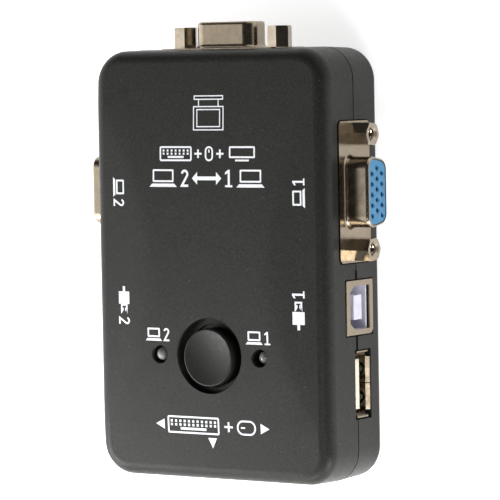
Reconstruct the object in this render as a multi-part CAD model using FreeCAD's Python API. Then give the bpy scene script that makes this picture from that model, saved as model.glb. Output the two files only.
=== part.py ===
import FreeCAD, Part
import math
import os

# Two-way keyboard, video and mouse switch: a crowned two-shell plastic case with
# video and USB sockets on its edges and one latching push button.
# It lies on its feet: +Z is out of the button face, +Y points at the monitor socket's
# end, and the origin is under the middle of the whole object. Units are millimetres.

V = FreeCAD.Vector
X_AXIS = V(1, 0, 0)
Y_AXIS = V(0, 1, 0)
Z_AXIS = V(0, 0, 1)

# ---- driving dimensions: case ----
CASE_WIDTH = 61.9
CASE_LENGTH = 95.4
CASE_HEIGHT = 22.8              # rear plane to the middle of the crown
SPLIT_HEIGHT = 10.55            # rear plane to the parting line
CORNER_RADIUS = 7.3
WALL = 2.0
FLOOR = 1.2
DRAFT_DEG = 1.5
CROWN_RADIUS = 794.0            # long, shallow arch of the button face
FACET_SLOPE = 0.066             # fall of each side facet towards its edge
FACET_HALF_WAIST = 16.15        # half width of the crowned strip at its narrowest
CREASE_SOFTNESS = 0.12          # height over which crown and facet blend
ROOF_REACH_X = 36.0
ROOF_REACH_Y = 54.0
ROOF_STEP_X = 1.5
ROOF_STEP_Y = 3.0
FRONT_FILLET = 3.0
REAR_FILLET = 1.8
SPLIT_GAP = 0.3
WIDE_SPLIT_GAP = 0.8
WIDE_SPLIT_FROM_Y = -31.0       # from the case's middle
WIDE_SPLIT_TO_Y = -1.0
LIP_HEIGHT = 1.3
LIP_INSET = 1.1
LIP_CLEARANCE = 0.1

# ---- driving dimensions: sockets, all measured from the board's top ----
BOARD_THICKNESS = 1.6
BOARD_GAP = 0.95                # floor to the board's underside
VGA_CENTRE_HEIGHT = 6.8
USB_B_CENTRE_HEIGHT = 5.48
USB_A_CENTRE_HEIGHT = 4.35
VGA_SIDE_Y = 16.1               # from the case's middle
USB_B_SIDE_Y = -9.2
USB_A_SIDE_Y = -26.1
TOP_SOCKET_X = -0.3            # the monitor socket sits a little to one side
FLANGE_PROUD = 0.1
VGA_SHELL_LENGTH = 5.85         # flange face to the rim
USB_A_RECESS = 0.3

# ---- driving dimensions: button, LEDs, feet, screws ----
BUTTON_Y = -19.87               # from the case's middle
BUTTON_RADIUS = 6.4
BUTTON_OFF_CENTRE = -0.3        # the cap sits slightly low in its well
BUTTON_PROUD = 0.6
WELL_RADIUS = 8.4
WELL_DEPTH = 2.4
LEDGE_THICKNESS = 1.0
LEDGE_HOLE_RADIUS = 7.1
RIM_BEVEL = 0.22                # bevel round the well and the LED holes
LED_X = 13.24
LED_RADIUS = 1.5
LED_HOLE_RADIUS = 1.95
LED_LEFT_SUNK = 0.1
LED_RIGHT_SUNK = 0.8
LED_RIGHT_LEAN_DEG = 4.0
FOOT_PROUD = 1.5
FOOT_RADIUS = 4.0
FOOT_X = 20.5
FOOT_Y = 33.0
SCREW_X = 25.0
SCREW_Y = 41.0

# ---- derived places ----
CASE_Y = -(FLANGE_PROUD + VGA_SHELL_LENGTH) / 2
REAR_Z = FOOT_PROUD
SPLIT_Z = REAR_Z + SPLIT_HEIGHT
CROWN_Z = REAR_Z + CASE_HEIGHT
HALF_WIDTH = CASE_WIDTH / 2
HALF_LENGTH = CASE_LENGTH / 2
FLOOR_Z = REAR_Z + FLOOR
BOARD_BOTTOM = FLOOR_Z + BOARD_GAP
BOARD_TOP = BOARD_BOTTOM + BOARD_THICKNESS
BOARD_HALF_WIDTH = HALF_WIDTH - WALL - 0.55
BOARD_HALF_LENGTH = HALF_LENGTH - WALL - 0.55
DRAFT = math.tan(math.radians(DRAFT_DEG))
FACE_Z = CROWN_Z - BUTTON_Y ** 2 / (2 * CROWN_RADIUS)   # case surface at the button
LEAD_TAIL = 0.6                 # leads show this far under the board


# ---------------------------------------------------------------- helpers

def block(x0, x1, y0, y1, z0, z1):
    return Part.makeBox(x1 - x0, y1 - y0, z1 - z0, V(x0, y0, z0))


def rod(radius, start, axis, length):
    return Part.makeCylinder(radius, length, start, axis)


def joined(shapes):
    result = shapes[0]
    if len(shapes) > 1:
        result = shapes[0].multiFuse(shapes[1:])
    return result.removeSplitter()


def moved(shape, x=0.0, y=0.0, z=0.0, turn=0.0):
    """A copy turned about Z by turn degrees, then shifted."""
    copy = shape.copy()
    copy.rotate(V(0, 0, 0), Z_AXIS, turn)
    copy.translate(V(x, y, z))
    return copy


def edges_along(shape, axis):
    """Straight edges parallel to an axis."""
    found = []
    for edge in shape.Edges:
        if isinstance(edge.Curve, Part.Line):
            direction = edge.tangentAt(edge.FirstParameter)
            if abs(direction.dot(axis)) > 0.999:
                found.append(edge)
    return found


def edges_in_plane(shape, axis, level, tolerance=0.01):
    """Edges that lie whole in the plane at a level along an axis."""
    found = []
    for edge in shape.Edges:
        middle = edge.valueAt((edge.FirstParameter + edge.LastParameter) / 2)
        spots = [middle] + [vertex.Point for vertex in edge.Vertexes]
        if all(abs(spot.dot(axis) - level) < tolerance for spot in spots):
            found.append(edge)
    return found


def bar_along_x(points, x0, x1, radius=0.0):
    """A bar along X whose section is a polygon of (y, z) points with rounded corners."""
    corners = [V(x0, y, z) for y, z in points]
    bar = Part.Face(Part.makePolygon(corners + corners[:1])).extrude(V(x1 - x0, 0, 0))
    if radius:
        bar = bar.makeFillet(radius, edges_along(bar, X_AXIS))
    return bar


def plate_along_x(width, height, x0, x1, radius=0.0, z=0.0):
    """A bar along X with a rectangular section centred on y = 0 and the given z."""
    half, low, high = width / 2, z - height / 2, z + height / 2
    points = [(-half, low), (half, low), (half, high), (-half, high)]
    return bar_along_x(points, x0, x1, radius)


def tapered_box(half_width, half_length, z_wide, z_narrow):
    """A box that narrows by the draft angle from z_wide to z_narrow, above or below it."""
    height = abs(z_narrow - z_wide)
    w, l = half_width, half_length
    w_in, l_in = half_width - height * DRAFT, half_length - height * DRAFT
    wedge = Part.makeWedge(-w, 0, -l, -l_in, -w_in, w, height, l, l_in, w_in)
    wedge.rotate(V(0, 0, 0), X_AXIS, 90 if z_narrow > z_wide else -90)
    wedge.translate(V(0, 0, z_wide))
    return wedge


def case_prism(inset, z_wide, z_narrow):
    """The case's plan outline, inset all round, with rounded drafted corners."""
    body = tapered_box(HALF_WIDTH - inset, HALF_LENGTH - inset, z_wide, z_narrow)
    uprights = [edge for edge in body.Edges if edge.BoundBox.ZLength > 0.01]
    return body.makeFillet(CORNER_RADIUS - inset, uprights)


def face_height(x, y):
    """Height of the button face: a long arch, with a planar facet falling to each side."""
    crown = CROWN_Z - y ** 2 / (2 * CROWN_RADIUS)
    facet = CROWN_Z + (FACET_HALF_WAIST - abs(x)) * FACET_SLOPE
    nearness = max(CREASE_SOFTNESS - abs(crown - facet), 0.0) / CREASE_SOFTNESS
    return min(crown, facet) - CREASE_SOFTNESS * nearness ** 3 / 6


def roof(drop):
    """Everything under the button face, lowered by drop."""
    rows = []
    columns = int(round(2 * ROOF_REACH_X / ROOF_STEP_X))
    lines = int(round(2 * ROOF_REACH_Y / ROOF_STEP_Y))
    for i in range(columns + 1):
        x = -ROOF_REACH_X + i * ROOF_STEP_X
        row = []
        for j in range(lines + 1):
            y = -ROOF_REACH_Y + j * ROOF_STEP_Y
            row.append(V(x, y, face_height(x, y) - drop))
        rows.append(row)
    surface = Part.BSplineSurface()
    surface.interpolate(rows)
    return surface.toShape().extrude(V(0, 0, -40))


# ---------------------------------------------------------------- socket cut-outs

def place_right(shape, y):
    return moved(shape, HALF_WIDTH, y, BOARD_TOP)


def place_left(shape, y):
    return moved(shape, -HALF_WIDTH, y, BOARD_TOP, 180)


def place_top(shape):
    return moved(shape, TOP_SOCKET_X, HALF_LENGTH, BOARD_TOP, 90)


def place_bottom(shape):
    return moved(shape, 0, -HALF_LENGTH, BOARD_TOP, -90)


def port_cutouts():
    """Openings through the case walls, one for each socket."""
    vga = plate_along_x(31.3, 13.0, -4, 2, 1.3, VGA_CENTRE_HEIGHT)
    usb_b = plate_along_x(12.5, 11.4, -4, 2, 0.0, USB_B_CENTRE_HEIGHT)
    usb_a = plate_along_x(15.3, 6.7, -4, 2, 0.0, USB_A_CENTRE_HEIGHT)
    cuts = [place_top(vga), place_bottom(usb_a)]
    for place in (place_right, place_left):
        cuts += [place(vga, VGA_SIDE_Y), place(usb_b, USB_B_SIDE_Y), place(usb_a, USB_A_SIDE_Y)]
    return cuts


def wide_split_cuts():
    """The parting line opens up along the USB sockets on both long sides."""
    half_gap = WIDE_SPLIT_GAP / 2
    inner = HALF_WIDTH - LIP_INSET
    cuts = []
    for x0, x1 in ((inner, HALF_WIDTH + 1), (-HALF_WIDTH - 1, -inner)):
        cuts.append(block(x0, x1, WIDE_SPLIT_FROM_Y, WIDE_SPLIT_TO_Y,
                          SPLIT_Z - half_gap, SPLIT_Z + half_gap))
    return cuts


def corner_points(x, y):
    return [(x, y), (-x, y), (-x, -y), (x, -y)]


# ---------------------------------------------------------------- case

def rim_bevel(x, radius):
    """A cone that bevels the rim of a round hole in the face."""
    return Part.makeCone(radius, radius + 2 * RIM_BEVEL, 2 * RIM_BEVEL, V(x, BUTTON_Y, FACE_Z - RIM_BEVEL))


def top_cover():
    base = SPLIT_Z + SPLIT_GAP / 2
    outer = case_prism(0.0, base, CROWN_Z + 3).common(roof(0.0))
    rim = [edge for edge in outer.Edges if edge.BoundBox.ZMin > base + 5]
    outer = outer.makeFillet(FRONT_FILLET, rim)
    inner = case_prism(WALL, base - 1, CROWN_Z + 3).common(roof(WALL))
    rebate = case_prism(LIP_INSET - LIP_CLEARANCE, base - 1, SPLIT_Z + LIP_HEIGHT + 0.2)
    shell = outer.cut([inner, rebate] + port_cutouts() + wide_split_cuts())
    well_floor = FACE_Z - WELL_DEPTH
    well = rod(WELL_RADIUS + 1.2, V(0, BUTTON_Y, well_floor - LEDGE_THICKNESS), Z_AXIS, WELL_DEPTH)
    bosses = [well.common(roof(WALL / 2))]
    for x in (-LED_X, LED_X):
        tube = rod(LED_HOLE_RADIUS + 1.0, V(x, BUTTON_Y, FACE_Z - 4.5), Z_AXIS, 4.0)
        bosses.append(tube.common(roof(WALL / 2)))
    for x, y in corner_points(SCREW_X, SCREW_Y):
        boss = rod(2.9, V(x, y, SPLIT_Z - 2.0), Z_AXIS, CROWN_Z)
        bosses.append(boss.common(roof(WALL / 2)))
    shell = joined([shell] + bosses)
    holes = [
        rod(WELL_RADIUS, V(0, BUTTON_Y, well_floor), Z_AXIS, 10),
        rod(LEDGE_HOLE_RADIUS, V(0, BUTTON_Y, well_floor - 3), Z_AXIS, 10),
        rim_bevel(0, WELL_RADIUS),
    ]
    for x in (-LED_X, LED_X):
        holes.append(rod(LED_HOLE_RADIUS, V(x, BUTTON_Y, FACE_Z - 10), Z_AXIS, 20))
        holes.append(rim_bevel(x, LED_HOLE_RADIUS))
    for x, y in corner_points(SCREW_X, SCREW_Y):
        holes.append(rod(1.1, V(x, y, SPLIT_Z - 3), Z_AXIS, 9.5))
    return shell.cut(holes)


def bottom_cover():
    top = SPLIT_Z - SPLIT_GAP / 2
    outer = case_prism(0.0, top, REAR_Z)
    outer = outer.makeFillet(REAR_FILLET, edges_in_plane(outer, Z_AXIS, REAR_Z))
    inner = case_prism(WALL, top + 1, FLOOR_Z)
    shell = outer.cut(inner)
    lip_top = SPLIT_Z + LIP_HEIGHT
    lip = case_prism(LIP_INSET, lip_top, top - 1.5).cut(case_prism(WALL, lip_top + 1, top - 3))
    parts = [shell, lip]
    for x, y in corner_points(SCREW_X, SCREW_Y):
        parts.append(rod(3.4, V(x, y, REAR_Z + 0.5), Z_AXIS, SPLIT_Z - 2.1 - REAR_Z - 0.5))
    for x, y in corner_points(9.0, 36.0) + corner_points(16.0, 3.0):
        parts.append(rod(1.6, V(x, y, REAR_Z + 0.5), Z_AXIS, BOARD_BOTTOM - REAR_Z - 0.5))
    cover = joined(parts)
    holes = port_cutouts() + wide_split_cuts()
    for x, y in corner_points(SCREW_X, SCREW_Y):
        holes.append(rod(1.5, V(x, y, 0), Z_AXIS, 20))
        holes.append(rod(2.7, V(x, y, 0), Z_AXIS, REAR_Z + 3.0))
    for x, y in corner_points(FOOT_X, FOOT_Y):
        holes.append(rod(FOOT_RADIUS + 0.2, V(x, y, 0), Z_AXIS, REAR_Z + 0.3))
    return cover.cut(holes)


def case_screws():
    screws = []
    seat = REAR_Z + 3.0
    for x, y in corner_points(SCREW_X, SCREW_Y):
        head = rod(2.4, V(x, y, seat - 1.8), Z_AXIS, 1.8)
        head = head.makeFillet(0.5, edges_in_plane(head, Z_AXIS, seat - 1.8))
        shank = rod(1.1, V(x, y, seat - 0.2), Z_AXIS, SPLIT_Z + 5.5 - seat)
        slots = []
        for turn in (0, 90):
            slot = moved(block(-1.3, 1.3, -0.3, 0.3, 0, 1.0), turn=turn)
            slot.translate(V(x, y, seat - 1.9))
            slots.append(slot)
        screws.append(joined([head, shank]).cut(slots))
    return screws


def rubber_feet():
    feet = []
    for x, y in corner_points(FOOT_X, FOOT_Y):
        foot = rod(FOOT_RADIUS, V(x, y, 0), Z_AXIS, REAR_Z + 0.3)
        feet.append(foot.makeFillet(0.5, edges_in_plane(foot, Z_AXIS, 0)))
    return feet


# ---------------------------------------------------------------- VGA socket
# Local frame of every socket: +X out of the case, x = 0 on the case's side, z = 0 on
# the board's top, y = 0 on the socket's middle.

VGA_FLANGE_WIDTH = 30.8
VGA_FLANGE_HEIGHT = 12.5
VGA_FLANGE_THICKNESS = 0.8
VGA_D_WIDTH = 16.3
VGA_D_HEIGHT = 7.9
VGA_D_SLANT = 1.3               # each end of the D narrows by this much towards the back
VGA_D_RADIUS = 2.5
VGA_RIM_FILLET = 0.75
VGA_SHEET = 0.5
POST_SPACING = 25.0
POST_ACROSS_FLATS = 4.76
POST_PROUD = 4.7
POST_BORE_RADIUS = 1.2
POST_MOUTH_RADIUS = 1.75
POST_MOUTH_DEPTH = 0.4
SIDE_POST_TURNS_DEG = (34.0, 23.0)      # each hexagon stops where its thread bites
TOP_POST_TURNS_DEG = (46.0, 57.0)
PIN_PITCH = 2.29
PIN_ROW = 1.98
PIN_HOLE_RADIUS = 0.5
SOCKET_RADIUS = 0.45
LEAD = 0.5


def d_bar(margin, x0, x1):
    """A D-shaped bar, smaller all round by the margin; its wide side is the upper one."""
    half = VGA_D_WIDTH / 2 - margin
    high = VGA_CENTRE_HEIGHT + VGA_D_HEIGHT / 2 - margin
    low = VGA_CENTRE_HEIGHT - VGA_D_HEIGHT / 2 + margin
    points = [(-half + VGA_D_SLANT, low), (half - VGA_D_SLANT, low), (half, high), (-half, high)]
    return bar_along_x(points, x0, x1, VGA_D_RADIUS - margin)


def vga_shell():
    face = FLANGE_PROUD
    flange = plate_along_x(VGA_FLANGE_WIDTH, VGA_FLANGE_HEIGHT, face - VGA_FLANGE_THICKNESS, face,
                           1.1, VGA_CENTRE_HEIGHT)
    rim = face + VGA_SHELL_LENGTH
    shell = flange.fuse(d_bar(0.0, face - 0.4, rim)).removeSplitter()
    foot = [edge for edge in edges_in_plane(shell, X_AXIS, face)
            if abs(edge.CenterOfMass.y) < VGA_D_WIDTH / 2 + 0.5
            and abs(edge.CenterOfMass.z - VGA_CENTRE_HEIGHT) < VGA_D_HEIGHT / 2 + 0.5]
    shell = shell.makeFillet(0.9, foot)
    shell = shell.makeFillet(VGA_RIM_FILLET, edges_in_plane(shell, X_AXIS, rim))
    shell = shell.cut(d_bar(VGA_SHEET, -5, rim + 1))
    for side in (-1, 1):
        y = side * POST_SPACING / 2
        shell = shell.cut(rod(1.6, V(-5, y, VGA_CENTRE_HEIGHT), X_AXIS, 10))
        tab = block(-6.0, face - VGA_FLANGE_THICKNESS + 0.1, y - 2.5, y + 2.5,
                    VGA_CENTRE_HEIGHT + 5.7, VGA_CENTRE_HEIGHT + 6.1)
        shell = shell.fuse(tab)
    return [shell.removeSplitter()]


def pin_places():
    """(y, z) of the fifteen contacts: three rows of five, the middle row half a pitch over."""
    places = []
    for row in (-1, 0, 1):
        shift = PIN_PITCH / 4 if row == 0 else -PIN_PITCH / 4
        for column in range(-2, 3):
            places.append((column * PIN_PITCH + shift, VGA_CENTRE_HEIGHT + row * PIN_ROW, row))
    return places


def vga_insulator():
    front = FLANGE_PROUD + VGA_SHELL_LENGTH - 0.15
    core = d_bar(VGA_SHEET + 0.05, FLANGE_PROUD - VGA_FLANGE_THICKNESS, front)
    core = core.makeFillet(0.2, edges_in_plane(core, X_AXIS, front))
    back = plate_along_x(18.0, 9.6, -4.4, FLANGE_PROUD - VGA_FLANGE_THICKNESS - 0.02,
                         0.8, VGA_CENTRE_HEIGHT)
    body = joined([core, back.fuse(d_bar(VGA_SHEET + 0.05, -1.0, 0.5))])
    holes = []
    for y, z, _row in pin_places():
        holes.append(rod(PIN_HOLE_RADIUS, V(-6, y, z), X_AXIS, 14))
        holes.append(Part.makeCone(0.3, 0.75, 0.45, V(front - 0.4, y, z), X_AXIS))
    return [body.cut(holes)]


def vga_contacts():
    """Each contact is a socket tube, a run to the rear and a leg through the board."""
    contacts = []
    for y, z, row in pin_places():
        tube = rod(SOCKET_RADIUS, V(-4.0, y, z), X_AXIS, 8.6)
        tube = tube.cut(rod(0.28, V(0.0, y, z), X_AXIS, 8.6))
        heel = -6.2 - 1.5 * (row + 1)
        run = block(heel - LEAD / 2, -3.8, y - LEAD / 2, y + LEAD / 2, z - LEAD / 2, z + LEAD / 2)
        leg = block(heel - LEAD / 2, heel + LEAD / 2, y - LEAD / 2, y + LEAD / 2,
                    -BOARD_THICKNESS - LEAD_TAIL, z + LEAD / 2)
        contacts.append(joined([tube, run, leg]))
    return contacts


def vga_housing():
    """Moulded block behind the flange that holds the insulator and takes the posts."""
    front = FLANGE_PROUD - VGA_FLANGE_THICKNESS - 0.02
    wide = plate_along_x(30.2, 12.2, -5.6, front, 0.6, VGA_CENTRE_HEIGHT)
    rear = block(-10.6, -3.2, -10.0, 10.0, 0.0, VGA_CENTRE_HEIGHT + 6.1)
    rear = rear.makeFillet(0.5, edges_along(rear, Z_AXIS))
    body = joined([wide, rear])
    cuts = [
        plate_along_x(18.2, 9.8, -4.6, 2, 0.0, VGA_CENTRE_HEIGHT),
        block(-9.8, -4.0, -7.0, 7.0, -1, 10.6),
    ]
    for side in (-1, 1):
        y = side * POST_SPACING / 2
        cuts.append(rod(1.5, V(-5.0, y, VGA_CENTRE_HEIGHT), X_AXIS, 8))
        cuts.append(block(-6.5, front + 1, y - 2.7, y + 2.7, VGA_CENTRE_HEIGHT + 5.5, 14))
    return [body.cut(cuts)]


def vga_posts(turns=SIDE_POST_TURNS_DEG):
    """Two hexagonal jack posts with threaded sockets, screwed through the flange."""
    posts = []
    seat = FLANGE_PROUD + 0.01
    corner = POST_ACROSS_FLATS / math.sqrt(3)
    for side, turn in zip((-1, 1), turns):
        y = side * POST_SPACING / 2
        points = []
        for i in range(6):
            angle = math.radians(60 * i + turn)
            points.append((y + corner * math.cos(angle), VGA_CENTRE_HEIGHT + corner * math.sin(angle)))
        hexagon = bar_along_x(points, seat, seat + POST_PROUD)
        bevel = Part.makeCone(POST_PROUD * 0.9 + corner, corner * 0.92, POST_PROUD,
                              V(seat, y, VGA_CENTRE_HEIGHT), X_AXIS)
        hexagon = hexagon.common(bevel)
        stud = rod(1.4, V(-4.4, y, VGA_CENTRE_HEIGHT), X_AXIS, 4.4 + seat + 0.2)
        post = joined([hexagon, stud])
        post = post.cut(rod(POST_BORE_RADIUS, V(seat + 0.3, y, VGA_CENTRE_HEIGHT), X_AXIS, 6))
        mouth = Part.makeCone(POST_BORE_RADIUS, POST_MOUTH_RADIUS, POST_MOUTH_DEPTH,
                              V(seat + POST_PROUD - POST_MOUTH_DEPTH, y, VGA_CENTRE_HEIGHT), X_AXIS)
        posts.append(post.cut(mouth))
    return posts


# ---------------------------------------------------------------- USB type B socket

USB_B_WIDTH = 12.0
USB_B_HEIGHT = 10.9
USB_B_DEPTH = 16.0
USB_B_CORNER_CUT = 0.9
USB_B_EDGE = 0.3
USB_SHEET = 0.35
USB_B_TONGUE_RECESS = 0.7


def chamfered_bar(width, height, cut, x0, x1, z):
    """A bar along X whose two upper corners are cut off."""
    half, low, high = width / 2, z - height / 2, z + height / 2
    points = [(-half, low), (half, low), (half, high - cut), (half - cut * 0.7, high),
              (-half + cut * 0.7, high), (-half, high - cut)]
    return bar_along_x(points, x0, x1)


def usb_b_bar(inset, x0, x1):
    """A bar with the shell's outline, inset all round; one lower corner is cut off."""
    z = USB_B_CENTRE_HEIGHT
    half, tall = USB_B_WIDTH / 2 - inset, USB_B_HEIGHT / 2 - inset
    cut = USB_B_CORNER_CUT - inset * (2 - math.sqrt(2))
    points = [(-half + cut, z - tall), (half, z - tall), (half, z + tall), (-half, z + tall),
              (-half, z - tall + cut)]
    return bar_along_x(points, x0, x1)


def usb_b_shell():
    z = USB_B_CENTRE_HEIGHT
    face = FLANGE_PROUD
    outer = usb_b_bar(0.0, face - USB_B_DEPTH, face)
    outer = outer.makeFillet(USB_B_EDGE, edges_along(outer, X_AXIS))
    outer = outer.makeFillet(0.2, edges_in_plane(outer, X_AXIS, face))
    inner = usb_b_bar(USB_SHEET, face - USB_B_DEPTH - 1, face - 0.5)
    mouth = chamfered_bar(9.5, 8.0, 1.9, face - 2, face + 1, z)
    heel = block(face - USB_B_DEPTH - 1, -11.8, -2.3, 2.3, -1, 1)
    shell = outer.cut([inner, mouth, heel])
    legs = []
    for side in (-1, 1):
        y = side * (USB_B_WIDTH / 2 - USB_SHEET / 2)
        legs.append(block(-8.0, -6.4, y - USB_SHEET / 2, y + USB_SHEET / 2,
                          -BOARD_THICKNESS - LEAD_TAIL, 2.0))
    return [joined([shell] + legs)]


def usb_b_insulator():
    """A block behind the sheet with a cavity, a tongue, and a gap under the cavity's floor."""
    z = USB_B_CENTRE_HEIGHT
    face = FLANGE_PROUD
    back = face - USB_B_DEPTH + 0.3
    tongue_face = face - USB_B_TONGUE_RECESS
    body = usb_b_bar(USB_SHEET + 0.05, back, face - 0.55)
    cavity = chamfered_bar(9.6, 7.15, 1.9, face - 9.5, face + 1, z + 0.475)
    gap = block(face - 4.0, face + 1, -6.0, 6.0, z - 6.0, z - 3.45)
    tongue = plate_along_x(5.4, 3.3, face - 10, tongue_face, 0.0, z - 0.15)
    tongue = tongue.makeFillet(0.15, edges_in_plane(tongue, X_AXIS, tongue_face))
    body = joined([body.cut([cavity, gap]), tongue])
    grooves = []
    for y in (-1.25, 1.25):
        for level in (-1.6, 1.25):
            grooves.append(block(-13.0, face - 1.6, y - 0.55, y + 0.55, z - 0.15 + level, z + 0.2 + level))
    legs = block(back - 1, -12.0, -2.2, 2.2, -2, z + 3)
    return [body.cut(grooves + [legs])]


def usb_b_contacts():
    contacts = []
    z = USB_B_CENTRE_HEIGHT - 0.15
    for y in (-1.25, 1.25):
        for level, heel in ((-1.55, -12.6), (1.3, -14.4)):
            blade = block(heel, -1.8, y - 0.5, y + 0.5, z + level, z + level + 0.25)
            leg = block(heel - 0.2, heel + 0.3, y - 0.3, y + 0.3,
                        -BOARD_THICKNESS - LEAD_TAIL, z + level + 0.25)
            contacts.append(joined([blade, leg]))
    return contacts


# ---------------------------------------------------------------- USB type A socket

USB_A_WIDTH = 13.1
USB_A_HEIGHT = 5.72
USB_A_DEPTH = 14.0
LIP_BACK = 0.85                 # depth over which the flared lips lean outward
LONG_LIP_OUT = 0.36
SHORT_LIP_OUT = 0.75
LONG_LIP = 11.7
SHORT_LIP = 4.4
USB_A_TONGUE = 1.85
SPRING_FINGER_Y = 3.1           # two spring fingers in the sheet on the rear side
FINGER_TIP_X = -2.27
FINGER_HALF_WIDTH = 0.65
WINDOW_X = -2.75
WINDOW_RADIUS = 1.6
USB_A_SHEET = 0.3


def flared_lip(along, half, out, reach):
    """A sloping strip of sheet that leans outward, running along Y or Z."""
    t = USB_A_SHEET
    section = [(-LIP_BACK - 0.25, half - t), (-LIP_BACK, half - t), (0.0, half - t + out),
               (0.0, half + out), (-LIP_BACK - 0.1, half), (-LIP_BACK - 0.25, half)]
    corners = []
    for x, offset in section:
        corners.append(V(x, -reach / 2, offset) if along == "y" else V(x, offset, -reach / 2))
    sweep = V(0, reach, 0) if along == "y" else V(0, 0, reach)
    return Part.Face(Part.makePolygon(corners + corners[:1])).extrude(sweep)


def finger_tip(y, floor):
    """The rounded end of a spring finger, bent so that it slopes towards the mouth."""
    front, rear = FINGER_TIP_X + FINGER_HALF_WIDTH, FINGER_TIP_X - FINGER_HALF_WIDTH
    section = [(rear, floor), (front, floor), (front, floor + 0.15), (FINGER_TIP_X, floor + 0.85),
               (rear, floor + USB_A_SHEET)]
    corners = [V(x, y - 1, z) for x, z in section]
    slope = Part.Face(Part.makePolygon(corners + corners[:1])).extrude(V(0, 2, 0))
    return slope.common(rod(FINGER_HALF_WIDTH, V(FINGER_TIP_X, y, floor - 1), Z_AXIS, 3))


def usb_a_shell():
    z = USB_A_CENTRE_HEIGHT
    t = USB_A_SHEET
    tube = plate_along_x(USB_A_WIDTH, USB_A_HEIGHT, -USB_A_DEPTH, -LIP_BACK, 0.5)
    bore = plate_along_x(USB_A_WIDTH - 2 * t, USB_A_HEIGHT - 2 * t, -USB_A_DEPTH - 1, 1, 0.2)
    parts = [tube.cut(bore)]
    for turn in (0, 180):
        long_lip = flared_lip("y", USB_A_HEIGHT / 2, LONG_LIP_OUT, LONG_LIP)
        long_lip.rotate(V(0, 0, 0), X_AXIS, turn)
        short_lip = flared_lip("z", USB_A_WIDTH / 2, SHORT_LIP_OUT, SHORT_LIP)
        short_lip.rotate(V(0, 0, 0), X_AXIS, turn)
        parts += [long_lip, short_lip]
    for side in (-1, 1):
        y = side * (USB_A_WIDTH / 2 - t / 2)
        parts.append(block(-9.0, -7.4, y - t / 2, y + t / 2, -z - BOARD_THICKNESS - LEAD_TAIL, 0))
    floor = -USB_A_HEIGHT / 2
    cuts = [
        block(-USB_A_DEPTH - 1, 0.5, -0.1, 0.1, floor - 1.5, floor + t + 0.02),
        block(-USB_A_DEPTH - 1, -11.2, -5.6, 5.6, floor - 0.5, floor + t + 0.02),
    ]
    fingers = []
    for y in (-SPRING_FINGER_Y, SPRING_FINGER_Y):
        cuts.append(rod(WINDOW_RADIUS, V(WINDOW_X, y, floor - 0.5), Z_AXIS, 1.2))
        cuts.append(block(-7.5, WINDOW_X, y - WINDOW_RADIUS, y + WINDOW_RADIUS, floor - 0.5, floor + 0.7))
        half = FINGER_HALF_WIDTH
        fingers.append(block(-7.6, FINGER_TIP_X, y - half, y + half, floor, floor + t))
        fingers.append(finger_tip(y, floor))
    shell = joined([joined(parts).cut(cuts)] + fingers)
    return [moved(shell, -USB_A_RECESS, 0, z)]


def usb_a_insulator():
    z = USB_A_CENTRE_HEIGHT
    t = USB_A_SHEET
    tongue_top = USB_A_HEIGHT / 2 - t - 0.7
    tongue = block(-11.0, -0.8, -5.5, 5.5, tongue_top - USB_A_TONGUE, tongue_top)
    tongue = tongue.makeFillet(0.15, edges_in_plane(tongue, X_AXIS, -0.8))
    back = plate_along_x(USB_A_WIDTH - 2 * t - 0.1, USB_A_HEIGHT - 2 * t - 0.1,
                         -USB_A_DEPTH + 0.4, -10.4, 0.2)
    foot = block(-USB_A_DEPTH + 0.4, -11.4, -5.4, 5.4, -z, 0)
    body = joined([tongue, back, foot])
    cuts = []
    for y in (-3.5, -1.0, 1.0, 3.5):
        cuts.append(block(-USB_A_DEPTH - 1, -1.6, y - 0.55, y + 0.55,
                          tongue_top - USB_A_TONGUE - 0.1, tongue_top - USB_A_TONGUE + 0.35))
    return [moved(body.cut(cuts), -USB_A_RECESS, 0, z)]


def usb_a_contacts():
    z = USB_A_CENTRE_HEIGHT
    contacts = []
    low = USB_A_HEIGHT / 2 - USB_A_SHEET - 0.7 - USB_A_TONGUE
    for y in (-3.5, -1.0, 1.0, 3.5):
        heel = -USB_A_DEPTH - 0.9
        blade = block(heel, -1.8, y - 0.5, y + 0.5, low + 0.03, low + 0.28)
        leg = block(heel, heel + 0.4, y - 0.3, y + 0.3, -z - BOARD_THICKNESS - LEAD_TAIL, low + 0.28)
        contacts.append(moved(joined([blade, leg]), -USB_A_RECESS, 0, z))
    return contacts


# ---------------------------------------------------------------- button and switch

SWITCH_HALF_X = 7.0
SWITCH_HALF_Y = 10.0
SWITCH_HEIGHT = 9.0
SWITCH_WALL = 1.0
SLIDER_HALF_X = 4.6
SLIDER_HALF_Y = 7.6
SLIDER_HEIGHT = 3.4
STEM_HALF = 1.6
SPRING_RADIUS = 2.6
SPRING_WIRE = 0.25
SPRING_TURNS = 4
SWITCH_TOP = BOARD_TOP + SWITCH_HEIGHT
SLIDER_TOP = SWITCH_TOP - SWITCH_WALL - 0.15
SLIDER_BOTTOM = SLIDER_TOP - SLIDER_HEIGHT
SPRING_FOOT = BOARD_TOP + SWITCH_WALL
BUTTON_CENTRE_Y = BUTTON_Y + BUTTON_OFF_CENTRE
BUTTON_TOP = FACE_Z + BUTTON_PROUD
FLANGE_TOP = FACE_Z - WELL_DEPTH - LEDGE_THICKNESS - 0.12
BUTTON_BOTTOM = FLANGE_TOP - 1.0


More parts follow.
